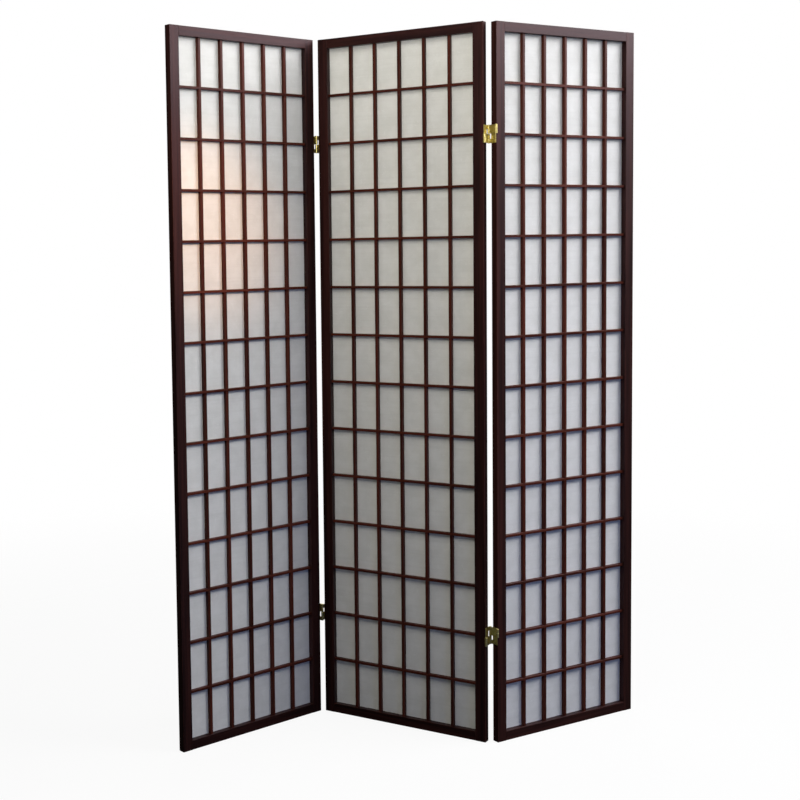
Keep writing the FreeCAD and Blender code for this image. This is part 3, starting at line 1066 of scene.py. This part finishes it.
@dataclass
class Studio:
    """A plain pale floor, soft lamps, a white backdrop and the camera."""

    floor_size: float = 8.0
    floor_drop: float = 0.0002
    floor_colour: Colour = (0.06, 0.06, 0.06)
    floor_glow: float = 0.92
    fade: tuple[float, float] = (1.2, 3.4)
    fill: float = 0.035
    fill_colour: Colour = (0.80, 0.94, 1.0)
    lamps: tuple[Softbox, ...] = (
        Softbox("side_softbox", (2.5, 1.2, 2.9), (0.0, 0.0, 1.9), 2.6, 1.8, 170.0, (0.97, 0.975, 1.0)),
        Softbox("top_softbox", (-0.2, -1.3, 2.9), (0.0, 0.0, 1.9), 1.6, 0.9, 19.0, (1.0, 0.975, 0.88)),
        Softbox("front_softbox", (0.6, -1.4, 1.9), (0.0, 0.0, 1.55), 1.0, 0.7, 12.5, (1.0, 0.97, 0.86)),
        Softbox("low_softbox", (2.2, -1.0, 0.45), (0.0, 0.0, 0.45), 0.9, 0.6, 6.5, (0.20, 0.36, 1.0)),
        Softbox("back_softbox", (-1.4, 2.6, 2.6), (0.0, 0.3, 1.5), 2.0, 1.6, 34.0, (1.0, 0.97, 0.94)),
    )

    def build(self) -> None:
        """Makes everything round the screen."""
        self.lay_floor()
        self.light_backdrop()
        for lamp in self.lamps:
            lamp.build()
            log.info("%s set", lamp.name)
        WarmLamp().build()
        Camera().build()
        bpy.context.scene.view_settings.view_transform = "Standard"

    def lay_floor(self) -> bpy.types.Object:
        """Makes the floor, just below the screen, which fades into the backdrop away from it.

        The fade is the distance from the middle, stepped smoothly from the fade's start to its end.

        Returns:
            The floor.
        """
        bench = Bench("pale_floor")
        place = bench.node("TexCoord").outputs["Object"]
        away = bench.wire("VectorMath", {"operation": "LENGTH"}, {0: place}, "Value")
        pale = bench.node("BsdfDiffuse", {}, {"Color": (*self.floor_colour, 1.0)})
        seen = bench.wire("LightPath", output="Is Camera Ray")
        glow = bench.node("Emission", {}, {"Color": (1.0, 1.0, 1.0, 1.0), "Strength": seen * self.floor_glow})
        pale = bench.node("AddShader", {}, {0: pale.outputs[0], 1: glow.outputs[0]})
        clear = bench.node("BsdfTransparent")
        faded = bench.node("MixShader", {}, {0: away.step(*self.fade), 1: pale.outputs[0], 2: clear.outputs[0]})
        half = self.floor_size / 2
        across, along = np.meshgrid([-half, half], [-half, half])
        level = np.full_like(across, -self.floor_drop)
        floor = Skin().grid(np.stack([across, along, level], axis=-1)).mesh_object("floor", Placing(Swing()))
        floor.data.materials.append(bench.finished(faded.outputs[0]))
        return floor

    def light_backdrop(self) -> None:
        """Makes the world a soft grey to light by, which shows as plain white."""
        world = bpy.data.worlds.new("backdrop")
        world.use_nodes = True
        tree = world.node_tree
        tree.nodes.clear()
        seen = tree.nodes.new("ShaderNodeLightPath").outputs["Is Camera Ray"]
        sources = []
        for strength, colour in ((self.fill, self.fill_colour), (1.0, (1.0, 1.0, 1.0))):
            source = tree.nodes.new("ShaderNodeBackground")
            source.inputs["Strength"].default_value = strength
            source.inputs["Color"].default_value = (*colour, 1.0)
            sources.append(source.outputs[0])
        either = tree.nodes.new("ShaderNodeMixShader")
        output = tree.nodes.new("ShaderNodeOutputWorld")
        tree.links.new(seen, either.inputs[0])
        tree.links.new(sources[0], either.inputs[1])
        tree.links.new(sources[1], either.inputs[2])
        tree.links.new(either.outputs[0], output.inputs["Surface"])
        bpy.context.scene.world = world


def corners(box: tuple[Vector, Vector]) -> list[list[float]]:
    """A box's two corners as plain lists."""
    return [list(corner) for corner in box]


def swings() -> dict[str, Swing]:
    """Each panel's swing at rest: a folding panel lies flat at its joint's lowest value, and rests at nothing.

    Returns:
        The swings by panel.
    """
    made = {"middle_panel": Swing()}
    for joint in frame["joints"]:
        made[joint["child"]] = Swing(tuple(joint["pos_m"][:2]), -math.radians(joint["range_deg"][0]))
    return made


def hinges(finishes: dict[str, bpy.types.Material]) -> list[Hinge]:
    """The four hinges, each at its joint's gap and at the height of its CAD nodes.

    Args:
        finishes: the materials of their pieces by the record's slots.

    Returns:
        The hinges, not yet built.
    """
    made = []
    front = float(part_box("middle_panel_left_stile")[0].y)
    for joint in frame["joints"]:
        side = joint["child"].removesuffix("_panel")
        swing = swings()[joint["child"]]
        for level in ("upper", "lower"):
            name = f"{side}_{level}_hinge"
            low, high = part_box(f"{name}_left_leaf")
            made.append(Hinge(name, swing, (joint["pos_m"][0], front, (low.z + high.z) / 2), finishes))
    return made


def main() -> None:
    """Builds the studio and the screen around the CAD model."""
    logging.basicConfig(level=logging.INFO, format="%(message)s")
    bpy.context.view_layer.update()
    Studio().build()
    for name, swing in swings().items():
        panel = Panel(name, swing)
        panel.dress()
        panel.hang_paper()
    finishes = {
        "hinge_brass": BRASS.material("pressed_hinge_brass"),
        "screw_brass": SCREW_BRASS.material("turned_screw_brass"),
    }
    for hinge in hinges(finishes):
        hinge.build()


if __name__ == "__main__":
    main()
